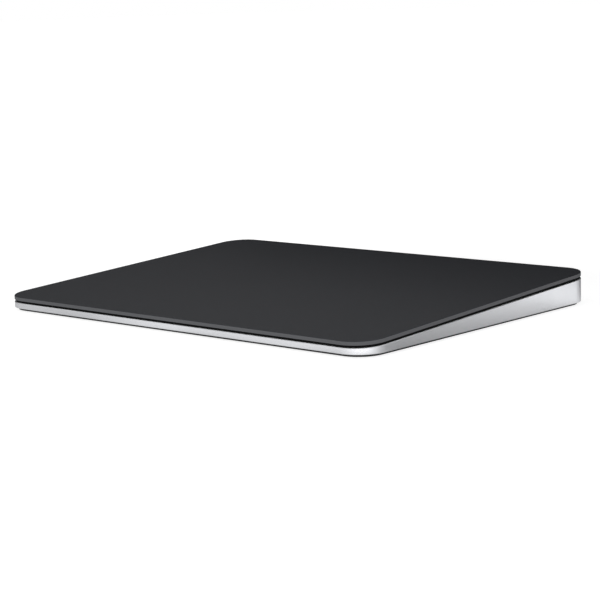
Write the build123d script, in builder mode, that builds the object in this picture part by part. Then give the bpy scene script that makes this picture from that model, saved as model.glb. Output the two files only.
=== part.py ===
from build123d import *
from math import atan, cos, sin, tan
import os

# Wedge-shaped desk trackpad: a glass plate that floats on four bending beams
# inside a shallow aluminium tray. Millimetres, +Z up. X runs to the user's
# right along the long edge, Y runs from the user to the thick rear edge, and
# the origin lies on the desk under the middle of the footprint.

# Overall sizes
width = 160.0
depth = 114.9
front_height = 4.9
rear_height = 10.9
corner_radius = 9.0

# Shared clearances and the overrun of every cut
overrun = 1.0
seat_clearance = 0.1
thread_clearance = 0.04

# Rubber feet and the dark panel under the tray
foot_standout = 0.25
foot_recess = 0.3
foot_radius = 5.5
foot_inset = 15.0
foot_edge = 0.15
base_thickness = 0.70
base_inset = 1.3
base_edge = 0.08
base_adhesive_thickness = 0.1
base_adhesive_width = 9.0
base_adhesive_inset = 0.6

# Aluminium tray
wall_thickness = 1.6
floor_thickness = 0.7
rim_gap = 0.80
rim_bevel = 0.15
heel_radius = 0.15
seal_inset = 0.5
seal_width = 0.7
seal_height = 0.45

# Glass plate and the touch board bonded under it
glass_thickness = 1.20
glass_bevel = 0.12
glass_adhesive_thickness = 0.12
glass_adhesive_inset = 1.0
board_thickness = 0.8
board_edge_gap = 0.7

# Steel stiffener under the touch board, with windows for what hangs there
stiffener_adhesive_thickness = 0.1
stiffener_thickness = 0.3
stiffener_inset = 2.0
window_radius = 1.5
window_margin = 1.0
window_count = 3
front_window_length = 30.0
front_window_depth = 12.0
front_window_pitch = 36.0
front_window_inset = 14.0
rear_window_length = 24.0
rear_window_depth = 9.0
rear_window_pitch = 30.0
rear_window_inset = 11.0

# Bending beams that carry the glass, and the gel pads on them
support_inset_x = 16.0
support_inset_y = 13.5
gel_length = 9.0
gel_depth = 8.0
gel_thickness = 0.3
gel_radius = 1.0
beam_thickness = 0.4
paddle_length = 11.0
paddle_depth = 10.0
neck_depth = 5.0
tab_length = 8.0
tab_depth = 11.0
beam_reach = 19.0
beam_corner = 1.0
boss_margin = 0.5
gauge_length = 4.5
gauge_depth = 3.0
gauge_thickness = 0.08

# Flush screws of the beams
beam_screw_spacing = 6.5
beam_screw_radius = 0.6
beam_screw_head_radius = 1.2
beam_screw_head_height = 0.34
beam_screw_reach = 0.65
beam_screw_seat = 0.02
screw_tip_gap = 0.1
screw_recess_radius = 0.45
screw_recess_depth = 0.15

# Drive: a steel plate on the glass stack over a row of wound cores
drive_centre = -12.5
drive_gap = 0.35
plate_lap_x = 2.5
plate_lap_y = 1.0
plate_thickness = 0.5
plate_radius = 1.0
core_count = 3
core_pitch = 18.0
core_length = 16.0
core_depth = 15.0
core_height = 1.3
core_base_height = 0.4
side_tooth_length = 1.9
middle_tooth_length = 3.6
middle_tooth_depth = 7.8
coil_gap = 0.25
coil_height = 0.75
coil_bend = 0.6
bracket_lap_x = 9.0
bracket_lap_y = 1.5
bracket_thickness = 0.3
bracket_radius = 2.0
bracket_hole_inset = 3.2
pedestal_size = 5.0
drive_screw_radius = 0.6
drive_screw_head_radius = 1.1
drive_screw_head_height = 0.5
drive_screw_reach = 0.5

# Battery, its fence and the small board on its terminals
cell_side_gap = 26.4
cell_front_gap = 4.9
cell_thickness = 3.0
cell_corner = 2.0
cell_edge = 0.7
cell_adhesive_thickness = 0.1
cell_adhesive_depth = 8.0
cell_adhesive_inset = 5.0
fence_thickness = 0.8
fence_height = 1.1
fence_gap = 0.25
fence_corner_share = 0.12
guard_length = 34.0
guard_depth = 3.4
guard_thickness = 0.6
guard_gap = 0.6
guard_rear_gap = 2.6
guard_post_height = 0.95
guard_post_radius = 1.2
guard_post_inset = 2.0
guard_chip_length = 2.4
guard_chip_gap = 1.0
guard_chip_pitch = 11.4
guard_chip_height = 0.7
tab_strip_length = 4.0
tab_strip_thickness = 0.15
tab_strip_spacing = 24.0

# Board along the rear wall
port_board_side_gap = 2.0
port_board_depth = 13.0
port_board_thickness = 0.8
port_board_radius = 1.5
port_board_wall_gap = 2.85
standoff_height = 0.7
standoff_radius = 1.9
port_screw_radius = 0.6
port_screw_head_radius = 1.1
port_screw_head_height = 0.5
port_screw_reach = 0.8
port_screw_inset = 2.0

# Charging socket in the rear wall
shell_width = 8.94
shell_height = 3.16
shell_length = 7.4
shell_wall = 0.3
shell_setback = 0.05
socket_block_length = 1.3
tongue_width = 6.69
tongue_thickness = 0.7
tongue_length = 4.5
contact_count = 12
contact_pitch = 0.5
contact_width = 0.28
contact_length = 3.4
contact_thickness = 0.05
contact_setback = 0.6
clamp_thickness = 0.3
clamp_depth = 2.4
clamp_ear = 2.6
clamp_setback = 0.3

# Power switch in the rear wall
switch_inset = 9.5
switch_travel = 2.5
knob_length = 5.0
knob_height = 2.3
knob_clearance = 0.15
knob_setback = 0.1
knob_edge = 0.3
knob_groove_count = 3
knob_groove_pitch = 1.0
knob_groove_width = 0.4
knob_groove_depth = 0.15
slider_thickness = 0.8
slider_lap = 0.7
slider_wall_gap = 0.25
flag_thickness = 0.1
fork_length = 3.4
fork_height = 1.8
fork_reach = 1.2
guide_clearance = 0.2
guide_thickness = 0.5
guide_rail = 0.6
switch_body_length = 8.5
switch_body_depth = 3.0
switch_body_height = 1.8
switch_body_setback = 0.3
lever_width = 1.2
lever_height = 0.7
lever_rise = 1.2
lever_root = 1.0
lever_tip_gap = 0.35

# Sockets, chips and radio parts on the rear board
socket_length = 9.0
socket_depth = 3.2
socket_height = 0.9
socket_setback = 0.9
socket_place_shares = (-0.234, 0.143, 0.52)
chip_height = 0.7
controller_size = 5.0
controller_gap = 1.5
controller_setback = 3.2
charger_chip_sizes = (3.6, 3.0, 2.2)
charger_chip_pitch = 4.6
charger_chip_gap = 2.6
charger_chip_setback = 3.6
radio_can_gap = 8.0
radio_can_depth = 7.6
radio_can_height = 1.4
radio_can_inset = 5.5
radio_can_setback = 1.0
can_wall = 0.15
antenna_length = 3.2
antenna_depth = 5.0
antenna_height = 1.0
antenna_inset = 0.8

# Parts that hang under the touch board
touch_window_length = 84.0
touch_window_depth = 17.0
touch_window_setback = 9.4
touch_can_length = 20.0
touch_can_depth = 12.0
touch_can_height = 0.95
touch_can_u = -26.0
touch_chip_sizes = (6.5, 5.0, 4.0, 3.0)
touch_chip_pitch = 8.0
touch_chip_first = -7.0
touch_socket_setback = 0.7

# Flat flexible leads
lead_thickness = 0.12
lead_width = 7.0
lead_bend = 0.6
lead_run_in = 1.5
deck_lead_overlap = 4.1
deck_lead_clear = 1.1
drive_lead_lift = 0.6
drive_lead_overhang = 0.4
drive_lead_landing = 1.4
guard_lead_lap = 2.2
guard_lead_overhang = 0.7
guard_lead_landing = 0.6

# Levels, from the desk up
base_bottom = foot_standout
base_top = base_bottom + base_thickness
case_bottom = base_top + base_adhesive_thickness
floor_top = case_bottom + floor_thickness
port_board_bottom = floor_top + standoff_height
port_board_top = port_board_bottom + port_board_thickness
port_height = port_board_top + shell_height / 2
cell_bottom = floor_top + cell_adhesive_thickness
cell_top = cell_bottom + cell_thickness
guard_bottom = floor_top + guard_post_height
guard_top = guard_bottom + guard_thickness

# Drops, square to the sloping glass, from its top face down
board_top_drop = glass_thickness + glass_adhesive_thickness
board_bottom_drop = board_top_drop + board_thickness
stiffener_top_drop = board_bottom_drop + stiffener_adhesive_thickness
stiffener_bottom_drop = stiffener_top_drop + stiffener_thickness
beam_top_drop = stiffener_bottom_drop + gel_thickness
beam_bottom_drop = beam_top_drop + beam_thickness
rim_drop = glass_thickness + rim_gap
core_top_drop = board_bottom_drop + plate_thickness + drive_gap
bracket_top_drop = core_top_drop + core_height
bracket_bottom_drop = bracket_top_drop + bracket_thickness

# Plan sizes that follow from the above
slope = atan((rear_height - front_height) / depth)
slope_depth = depth / cos(slope)
middle_height = (front_height + rear_height) / 2
inner_width = width - 2 * wall_thickness
inner_depth = depth - 2 * wall_thickness
inner_radius = corner_radius - wall_thickness
rear_face = depth / 2
wall_face = inner_depth / 2
board_width = inner_width - 2 * board_edge_gap
board_depth = slope_depth - 2 * (wall_thickness + board_edge_gap)
board_radius = inner_radius - board_edge_gap
support_u = width / 2 - support_inset_x
support_v = slope_depth / 2 - support_inset_y
tab_u = support_u - beam_reach
core_row_length = core_pitch * (core_count - 1) + core_length
plate_length = core_row_length + 2 * plate_lap_x
plate_depth = core_depth + 2 * plate_lap_y
bracket_length = core_row_length + 2 * bracket_lap_x
bracket_depth = core_depth + 2 * bracket_lap_y
port_board_length = 2 * (tab_u - tab_length / 2 - boss_margin - port_board_side_gap)
port_board_rear = wall_face - port_board_wall_gap
port_board_front = port_board_rear - port_board_depth
port_board_middle = port_board_rear - port_board_depth / 2
guard_rear = port_board_front - guard_rear_gap
guard_middle = guard_rear - guard_depth / 2
cell_rear = guard_rear - guard_depth - guard_gap
cell_front = drive_centre + bracket_depth / 2 + cell_front_gap
cell_length = inner_width - 2 * cell_side_gap
cell_depth = cell_rear - cell_front
cell_middle = (cell_front + cell_rear) / 2
touch_window_v = cell_rear - touch_window_setback
switch_x = port_board_length / 2 - switch_inset
socket_row = [share * port_board_length / 2 for share in socket_place_shares]
socket_front = port_board_front + socket_setback
lead_level = port_board_top + socket_height / 2
corners = {
    "front_left": (-1, -1),
    "front_right": (1, -1),
    "rear_left": (-1, 1),
    "rear_right": (1, 1),
}

os.makedirs("parts", exist_ok=True)


def write_piece(piece, name):
    """Label a finished piece and write it under its own name."""
    piece.part.label = name
    export_step(piece.part, f"parts/{name}.step")


def deck_plane(drop):
    """The plane parallel to the glass at that drop, with its normal out of the glass."""
    normal = Vector(0, -sin(slope), cos(slope))
    middle = Vector(0, 0, middle_height)
    return Plane(middle - normal * drop, x_dir=(1, 0, 0), z_dir=normal)


def deck_place(drop, u, v):
    """A place on a deck plane, u to the right and v up the slope."""
    return deck_plane(drop).location * Location((u, v, 0))


def deck_point(drop, v):
    """The y and z of a point in the stack, v up the slope."""
    spot = deck_plane(drop).from_local_coords(Vector(0, v, 0))
    return (spot.Y, spot.Z)


def upright_plane(y):
    """A plane that faces the user, with X across it and Z up it."""
    return Plane((0, y, 0), x_dir=(1, 0, 0), z_dir=(0, -1, 0))


def row(count, pitch, first=None):
    """Evenly spaced values, about zero unless the first one is given."""
    start = -pitch * (count - 1) / 2 if first is None else first
    return [start + pitch * number for number in range(count)]


# Glass plate. Its edges are upright, in line with the tray below.
with BuildPart() as touch_glass:
    with BuildSketch():
        RectangleRounded(width, depth, corner_radius)
    extrude(amount=rear_height + overrun)
    split(bisect_by=deck_plane(0), keep=Keep.BOTTOM)
    split(bisect_by=deck_plane(glass_thickness), keep=Keep.TOP)
    glass_top = touch_glass.faces().filter_by(deck_plane(0)).sort_by(Axis.Z)[-1]
    chamfer(glass_top.edges(), glass_bevel)
write_piece(touch_glass, "touch_glass")

with BuildPart() as glass_adhesive:
    with BuildSketch(deck_plane(glass_thickness)):
        RectangleRounded(
            width - 2 * glass_adhesive_inset,
            slope_depth - 2 * glass_adhesive_inset,
            corner_radius - glass_adhesive_inset,
        )
    extrude(amount=-glass_adhesive_thickness)
write_piece(glass_adhesive, "glass_adhesive")

with BuildPart() as touch_board:
    with BuildSketch(deck_plane(board_top_drop)):
        RectangleRounded(board_width, board_depth, board_radius)
    extrude(amount=-board_thickness)
write_piece(touch_board, "touch_board")

# Stiffener and the sheet that bonds it, cut from one plan. The windows clear
# the drive plate, the hanging chips and two rows of holes that save weight.
front_window_v = -board_depth / 2 + front_window_inset
rear_window_v = board_depth / 2 - rear_window_inset
with BuildSketch() as stiffener_plan:
    RectangleRounded(
        board_width - 2 * stiffener_inset,
        board_depth - 2 * stiffener_inset,
        board_radius - stiffener_inset,
    )
    with Locations((0, drive_centre)):
        RectangleRounded(
            plate_length + 2 * window_margin,
            plate_depth + 2 * window_margin,
            window_radius,
            mode=Mode.SUBTRACT,
        )
    with Locations((0, touch_window_v)):
        RectangleRounded(
            touch_window_length, touch_window_depth, window_radius, mode=Mode.SUBTRACT
        )
    with Locations(*[(u, front_window_v) for u in row(window_count, front_window_pitch)]):
        RectangleRounded(
            front_window_length, front_window_depth, window_radius, mode=Mode.SUBTRACT
        )
    with Locations(*[(u, rear_window_v) for u in row(window_count, rear_window_pitch)]):
        RectangleRounded(
            rear_window_length, rear_window_depth, window_radius, mode=Mode.SUBTRACT
        )

with BuildPart() as stiffener_adhesive:
    with BuildSketch(deck_plane(board_bottom_drop)):
        add(stiffener_plan.sketch)
    extrude(amount=-stiffener_adhesive_thickness)
write_piece(stiffener_adhesive, "stiffener_adhesive")

with BuildPart() as stiffener_plate:
    with BuildSketch(deck_plane(stiffener_top_drop)):
        add(stiffener_plan.sketch)
    extrude(amount=-stiffener_thickness)
write_piece(stiffener_plate, "stiffener_plate")

with BuildPart() as attraction_plate:
    with BuildSketch(deck_plane(board_bottom_drop)):
        with Locations((0, drive_centre)):
            RectangleRounded(plate_length, plate_depth, plate_radius)
    extrude(amount=-plate_thickness)
write_piece(attraction_plate, "attraction_plate")

# Chips, a shield can and the lead socket that hang in the touch window
touch_socket_v = touch_window_v + touch_window_depth / 2 - touch_socket_setback
touch_socket_u = socket_row[-1]
touch_chip_row = row(len(touch_chip_sizes), touch_chip_pitch, touch_chip_first)
down = (Align.CENTER, Align.CENTER, Align.MAX)
up = (Align.CENTER, Align.CENTER, Align.MIN)

with BuildPart() as touch_board_chips:
    for u, size in zip(touch_chip_row, touch_chip_sizes):
        with Locations(deck_place(board_bottom_drop, u, touch_window_v)):
            Box(size, size, chip_height, align=down)
write_piece(touch_board_chips, "touch_board_chips")

with BuildPart() as touch_board_shield:
    with Locations(deck_place(board_bottom_drop, touch_can_u, touch_window_v)):
        Box(touch_can_length, touch_can_depth, touch_can_height, align=down)
        Box(
            touch_can_length - 2 * can_wall,
            touch_can_depth - 2 * can_wall,
            touch_can_height - can_wall,
            align=down,
            mode=Mode.SUBTRACT,
        )
write_piece(touch_board_shield, "touch_board_shield")

with BuildPart() as touch_socket:
    with Locations(
        deck_place(board_bottom_drop, touch_socket_u, touch_socket_v - socket_depth / 2)
    ):
        Box(socket_length, socket_depth, socket_height, align=down)
write_piece(touch_socket, "touch_socket")

# Gel pads, one on the paddle of each beam
support_spots = [(side * support_u, end * support_v) for side, end in corners.values()]
with BuildPart() as gel_pads:
    with BuildSketch(deck_plane(stiffener_bottom_drop)):
        with Locations(*support_spots):
            RectangleRounded(gel_length, gel_depth, gel_radius)
    extrude(amount=-gel_thickness)
write_piece(gel_pads, "gel_pads")


# Bending beams: a paddle under the pad, a neck, and a tab screwed to the tray
def tab_screw_places(side, end, drop):
    """Places of the two screws of one beam."""
    offsets = row(2, beam_screw_spacing)
    return [deck_place(drop, side * tab_u, end * support_v + offset) for offset in offsets]


def force_beam(side, end):
    """One beam, flat under its pad, with countersunk holes in its tab."""
    with BuildPart() as beam:
        with BuildSketch(deck_plane(beam_top_drop)):
            with Locations((side * support_u, end * support_v)):
                RectangleRounded(paddle_length, paddle_depth, beam_corner)
            with Locations((side * tab_u, end * support_v)):
                RectangleRounded(tab_length, tab_depth, beam_corner)
            with Locations((side * (support_u + tab_u) / 2, end * support_v)):
                Rectangle(beam_reach, neck_depth)
        extrude(amount=-beam_thickness)
        with Locations(*tab_screw_places(side, end, beam_top_drop)):
            Cone(
                beam_screw_radius + beam_screw_seat,
                beam_screw_head_radius + beam_screw_seat,
                beam_screw_head_height + beam_screw_seat,
                align=down,
                mode=Mode.SUBTRACT,
            )
            Cylinder(
                beam_screw_radius + thread_clearance,
                beam_thickness + overrun,
                align=down,
                mode=Mode.SUBTRACT,
            )
    return beam


for corner, (side, end) in corners.items():
    write_piece(force_beam(side, end), f"force_beam_{corner}")

neck_u = (support_u + tab_u) / 2
gauge_spots = [(side * neck_u, end * support_v) for side, end in corners.values()]
with BuildPart() as strain_gauges:
    with BuildSketch(deck_plane(beam_top_drop)):
        with Locations(*gauge_spots):
            Rectangle(gauge_length, gauge_depth)
    extrude(amount=gauge_thickness)
write_piece(strain_gauges, "strain_gauges")

with BuildPart() as beam_screws:
    for side, end in corners.values():
        with Locations(*tab_screw_places(side, end, beam_top_drop)):
            Cone(
                beam_screw_radius,
                beam_screw_head_radius,
                beam_screw_head_height,
                align=down,
            )
            Cylinder(beam_screw_radius, beam_thickness + beam_screw_reach, align=down)
            Cylinder(
                screw_recess_radius, screw_recess_depth, align=down, mode=Mode.SUBTRACT
            )
write_piece(beam_screws, "beam_screws")

# Drive: bracket, cores and coils, in the plane of the glass
bracket_hole_u = bracket_length / 2 - bracket_hole_inset
bracket_hole_v = bracket_depth / 2 - bracket_hole_inset
drive_screw_spots = [
    (side * bracket_hole_u, drive_centre + end * bracket_hole_v)
    for side, end in corners.values()
]
core_row = [(u, drive_centre) for u in row(core_count, core_pitch)]
coil_space = core_length - 2 * side_tooth_length
coil_inner_length = middle_tooth_length + 2 * coil_gap
coil_inner_depth = middle_tooth_depth + 2 * coil_gap
coil_outer_length = coil_space - 2 * coil_gap
coil_outer_depth = coil_inner_depth + coil_outer_length - coil_inner_length

with BuildPart() as actuator_bracket:
    with BuildSketch(deck_plane(bracket_top_drop)):
        with Locations((0, drive_centre)):
            RectangleRounded(bracket_length, bracket_depth, bracket_radius)
        with Locations(*drive_screw_spots):
            Circle(drive_screw_radius + seat_clearance, mode=Mode.SUBTRACT)
    extrude(amount=-bracket_thickness)
write_piece(actuator_bracket, "actuator_bracket")

with BuildPart() as actuator_cores:
    for u, v in core_row:
        with Locations(deck_place(bracket_top_drop, u, v)):
            Box(core_length, core_depth, core_base_height, align=up)
            Box(middle_tooth_length, middle_tooth_depth, core_height, align=up)
        for offset in row(2, core_length - side_tooth_length):
            with Locations(deck_place(bracket_top_drop, u + offset, v)):
                Box(side_tooth_length, core_depth, core_height, align=up)
write_piece(actuator_cores, "actuator_cores")

with BuildPart() as actuator_coils:
    with BuildSketch(deck_plane(bracket_top_drop - core_base_height)):
        with Locations(*core_row):
            RectangleRounded(
                coil_outer_length, coil_outer_depth, coil_outer_length / 2 - coil_bend
            )
            RectangleRounded(
                coil_inner_length, coil_inner_depth, coil_bend, mode=Mode.SUBTRACT
            )
    extrude(amount=coil_height)
write_piece(actuator_coils, "actuator_coils")

with BuildPart() as actuator_screws:
    with Locations(*[deck_place(bracket_top_drop, u, v) for u, v in drive_screw_spots]):
        Cylinder(drive_screw_head_radius, drive_screw_head_height, align=up)
        Cylinder(
            drive_screw_radius, bracket_thickness + drive_screw_reach, align=down
        )
    recess_drop = bracket_top_drop - drive_screw_head_height
    with Locations(*[deck_place(recess_drop, u, v) for u, v in drive_screw_spots]):
        Cylinder(screw_recess_radius, screw_recess_depth, align=down, mode=Mode.SUBTRACT)
write_piece(actuator_screws, "actuator_screws")

# Battery and what holds and guards it
with BuildPart() as battery_cell:
    with BuildSketch(Plane.XY.offset(cell_bottom)):
        with Locations((0, cell_middle)):
            RectangleRounded(cell_length, cell_depth, cell_corner)
    extrude(amount=cell_thickness)
    cell_faces = battery_cell.faces().filter_by(Axis.Z)
    fillet(cell_faces.edges(), cell_edge)
write_piece(battery_cell, "battery_cell")

adhesive_length = cell_length - 2 * cell_adhesive_inset
adhesive_pitch = cell_depth - 2 * cell_adhesive_inset - cell_adhesive_depth
with BuildPart() as battery_adhesive:
    with BuildSketch(Plane.XY.offset(floor_top)):
        with Locations(*[(0, cell_middle + offset) for offset in row(2, adhesive_pitch)]):
            Rectangle(adhesive_length, cell_adhesive_depth)
    extrude(amount=cell_adhesive_thickness)
write_piece(battery_adhesive, "battery_adhesive")

with BuildPart() as battery_guard_board:
    with BuildSketch(Plane.XY.offset(guard_bottom)):
        with Locations((0, guard_middle)):
            Rectangle(guard_length, guard_depth)
    extrude(amount=guard_thickness)
write_piece(battery_guard_board, "battery_guard_board")

guard_chip_start = socket_row[0] + (lead_width + guard_chip_length) / 2 + guard_chip_gap
with BuildPart() as battery_guard_chips:
    with BuildSketch(Plane.XY.offset(guard_top)):
        with Locations(
            *[(x, guard_middle) for x in row(2, guard_chip_pitch, guard_chip_start)]
        ):
            Rectangle(guard_chip_length, guard_chip_length)
    extrude(amount=guard_chip_height)
write_piece(battery_guard_chips, "battery_guard_chips")

with BuildPart() as battery_tabs:
    with BuildSketch(Plane.XY.offset(guard_bottom + guard_thickness / 2)):
        with Locations(
            *[(offset, cell_rear + guard_gap / 2) for offset in row(2, tab_strip_spacing)]
        ):
            Rectangle(tab_strip_length, guard_gap)
    extrude(amount=tab_strip_thickness)
write_piece(battery_tabs, "battery_tabs")

# Rear board with its screws, sockets, chips, radio can and antenna
port_screw_spots = [
    (
        side * (port_board_length / 2 - port_screw_inset),
        port_board_middle + end * (port_board_depth / 2 - port_screw_inset),
    )
    for side, end in corners.values()
]
port_socket_spots = [(x, socket_front + socket_depth / 2) for x in socket_row]
clamp_end = shell_width / 2 + clamp_ear
radio_can_length = port_board_length / 2 - radio_can_inset - clamp_end - radio_can_gap
radio_can_x = radio_can_inset + (radio_can_length - port_board_length) / 2
controller_x = -clamp_end - controller_gap - controller_size / 2
charger_start = clamp_end + charger_chip_gap + charger_chip_sizes[0] / 2
charger_row = row(len(charger_chip_sizes), charger_chip_pitch, charger_start)

with BuildPart() as port_board:
    with BuildSketch(Plane.XY.offset(port_board_bottom)):
        with Locations((0, port_board_middle)):
            RectangleRounded(port_board_length, port_board_depth, port_board_radius)
        with Locations(*port_screw_spots):
            Circle(port_screw_radius + seat_clearance, mode=Mode.SUBTRACT)
    extrude(amount=port_board_thickness)
write_piece(port_board, "port_board")

with BuildPart() as port_board_screws:
    for x, y in port_screw_spots:
        with Locations((x, y, port_board_top)):
            Cylinder(port_screw_head_radius, port_screw_head_height, align=up)
            Cylinder(
                port_screw_radius, port_board_thickness + port_screw_reach, align=down
            )
        with Locations((x, y, port_board_top + port_screw_head_height)):
            Cylinder(
                screw_recess_radius, screw_recess_depth, align=down, mode=Mode.SUBTRACT
            )
write_piece(port_board_screws, "port_board_screws")

with BuildPart() as lead_sockets:
    with BuildSketch(Plane.XY.offset(port_board_top)):
        with Locations(*port_socket_spots):
            Rectangle(socket_length, socket_depth)
    extrude(amount=socket_height)
write_piece(lead_sockets, "lead_sockets")

with BuildPart() as port_board_chips:
    with BuildSketch(Plane.XY.offset(port_board_top)):
        with Locations(
            (controller_x, port_board_rear - controller_setback - controller_size / 2)
        ):
            Rectangle(controller_size, controller_size)
        for x, size in zip(charger_row, charger_chip_sizes):
            with Locations((x, port_board_rear - charger_chip_setback - size / 2)):
                Rectangle(size, size)
    extrude(amount=chip_height)
write_piece(port_board_chips, "port_board_chips")

radio_can_y = port_board_rear - radio_can_setback - radio_can_depth / 2
with BuildPart() as radio_shield:
    with Locations((radio_can_x, radio_can_y, port_board_top)):
        Box(radio_can_length, radio_can_depth, radio_can_height, align=up)
        Box(
            radio_can_length - 2 * can_wall,
            radio_can_depth - 2 * can_wall,
            radio_can_height - can_wall,
            align=up,
            mode=Mode.SUBTRACT,
        )
write_piece(radio_shield, "radio_shield")

antenna_x = -port_board_length / 2 + antenna_inset + antenna_length / 2
with BuildPart() as antenna:
    with Locations((antenna_x, port_board_middle, port_board_top)):
        Box(antenna_length, antenna_depth, antenna_height, align=up)
write_piece(antenna, "antenna")


# Flat leads between the boards
def flat_lead(points, centre):
    """A flat lead through points given as (y, z), centred on one x."""
    with BuildPart() as lead:
        with BuildSketch(Plane.YZ.offset(centre)):
            with BuildLine():
                FilletPolyline(*points, radius=lead_bend)
            trace(line_width=lead_thickness)
        extrude(amount=lead_width / 2, both=True)
    return lead


# The lead to the touch board folds twice, so that the glass can move.
deck_lead_drop = board_bottom_drop + socket_height - lead_thickness - seat_clearance
deck_lead_start = deck_point(deck_lead_drop, touch_socket_v)
deck_lead_turn = deck_point(deck_lead_drop, touch_socket_v + lead_run_in)
deck_lead_middle = (deck_lead_turn[1] + lead_level) / 2
deck_lead_points = [
    deck_lead_start,
    deck_lead_turn,
    (socket_front + deck_lead_overlap, deck_lead_turn[1]),
    (socket_front + deck_lead_overlap, deck_lead_middle),
    (port_board_front - deck_lead_clear, deck_lead_middle),
    (port_board_front - deck_lead_clear, lead_level),
    (socket_front, lead_level),
]
deck_lead = flat_lead(deck_lead_points, socket_row[2])
write_piece(deck_lead, "deck_lead")

# The lead to the drive lies on the bracket, then on the cell.
drive_lead_drop_level = bracket_top_drop - lead_thickness / 2
drive_lead_v = drive_centre + coil_outer_depth / 2 + seat_clearance
drive_lead_edge = drive_centre + bracket_depth / 2
drive_lead_points = [
    deck_point(drive_lead_drop_level, drive_lead_v),
    deck_point(drive_lead_drop_level, drive_lead_edge),
    (cell_front - drive_lead_lift, cell_top + lead_thickness / 2),
    (cell_rear + drive_lead_overhang, cell_top + lead_thickness / 2),
    (port_board_front - drive_lead_landing, lead_level),
    (socket_front, lead_level),
]
actuator_lead = flat_lead(drive_lead_points, socket_row[1])
write_piece(actuator_lead, "actuator_lead")

guard_lead_level = guard_top + lead_thickness / 2
battery_lead_points = [
    (guard_rear - guard_lead_lap, guard_lead_level),
    (guard_rear + guard_lead_overhang, guard_lead_level),
    (port_board_front - guard_lead_landing, lead_level),
    (socket_front, lead_level),
]
battery_lead = flat_lead(battery_lead_points, socket_row[0])
write_piece(battery_lead, "battery_lead")

# Charging socket: a drawn steel tube round a tongue with contacts on both faces
shell_rear = rear_face - shell_setback
shell_front = shell_rear - shell_length
with BuildPart() as usb_shell:
    with BuildSketch(upright_plane(shell_rear)):
        with Locations((0, port_height)):
            SlotOverall(shell_width, shell_height)
            SlotOverall(
                shell_width - 2 * shell_wall, shell_height - 2 * shell_wall, mode=Mode.SUBTRACT
            )
    extrude(amount=shell_length)
write_piece(usb_shell, "usb_shell")

with BuildPart() as usb_tongue:
    with BuildSketch(upright_plane(shell_front + socket_block_length)):
        with Locations((0, port_height)):
            SlotOverall(shell_width - 2 * shell_wall, shell_height - 2 * shell_wall)
    extrude(amount=socket_block_length)
    with BuildSketch(upright_plane(shell_front + socket_block_length + tongue_length)):
        with Locations((0, port_height)):
            Rectangle(tongue_width, tongue_thickness)
    extrude(amount=tongue_length)
write_piece(usb_tongue, "usb_tongue")

contact_tip = shell_front + socket_block_length + tongue_length - contact_setback
contact_rise = tongue_thickness / 2 + contact_thickness / 2
contact_spots = [
    (x, port_height + rise)
    for x in row(contact_count, contact_pitch)
    for rise in row(2, 2 * contact_rise)
]
with BuildPart() as usb_contacts:
    with BuildSketch(upright_plane(contact_tip)):
        with Locations(*contact_spots):
            Rectangle(contact_width, contact_thickness)
    extrude(amount=contact_length)
write_piece(usb_contacts, "usb_contacts")

with BuildPart() as port_clamp:
    with BuildSketch(upright_plane(port_board_rear - clamp_setback)):
        with Locations((0, port_height)):
            SlotOverall(
                shell_width + 2 * clamp_thickness, shell_height + 2 * clamp_thickness
            )
        with Locations((0, port_board_top + clamp_thickness / 2)):
            Rectangle(shell_width + 2 * clamp_ear, clamp_thickness)
        with Locations((0, port_board_top - overrun / 2)):
            Rectangle(shell_width + 2 * clamp_ear, overrun, mode=Mode.SUBTRACT)
        with Locations((0, port_height)):
            SlotOverall(shell_width, shell_height, mode=Mode.SUBTRACT)
    extrude(amount=clamp_depth)
write_piece(port_clamp, "port_clamp")

# Power switch. The slider plate carries the knob outside and a fork inside,
# and always covers the slot. It stands here at the off end of its travel.
slot_length = knob_length + switch_travel + 2 * knob_clearance
slot_height = knob_height + 2 * knob_clearance
knob_x = switch_x - switch_travel / 2
slider_length = slot_length + switch_travel + 2 * slider_lap
slider_height = slot_height + 2 * slider_lap
slider_rear = wall_face - slider_wall_gap
slider_front = slider_rear - slider_thickness
knob_rear = rear_face - knob_setback
fork_slot = lever_width + 2 * seat_clearance

with BuildPart() as switch_knob:
    with BuildSketch(upright_plane(slider_rear)):
        with Locations((knob_x, port_height)):
            Rectangle(slider_length, slider_height)
    extrude(amount=slider_thickness)
    with BuildSketch(upright_plane(knob_rear)):
        with Locations((knob_x, port_height)):
            RectangleRounded(knob_length, knob_height, knob_edge)
    extrude(amount=knob_rear - slider_rear)
    with BuildSketch(upright_plane(knob_rear)):
        with Locations(
            *[(knob_x + x, port_height) for x in row(knob_groove_count, knob_groove_pitch)]
        ):
            Rectangle(knob_groove_width, knob_height)
    extrude(amount=knob_groove_depth, mode=Mode.SUBTRACT)
    with BuildSketch(upright_plane(slider_front)):
        with Locations((knob_x, port_height)):
            Rectangle(fork_length, fork_height)
            Rectangle(fork_slot, fork_height, mode=Mode.SUBTRACT)
    extrude(amount=fork_reach)
write_piece(switch_knob, "switch_knob")

flag_right = switch_x - slot_length / 2
with BuildPart() as switch_flag:
    with BuildSketch(upright_plane(slider_rear + flag_thickness)):
        with Locations((flag_right - switch_travel / 2, port_height)):
            Rectangle(switch_travel, slot_height)
    extrude(amount=flag_thickness)
write_piece(switch_flag, "switch_flag")

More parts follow.
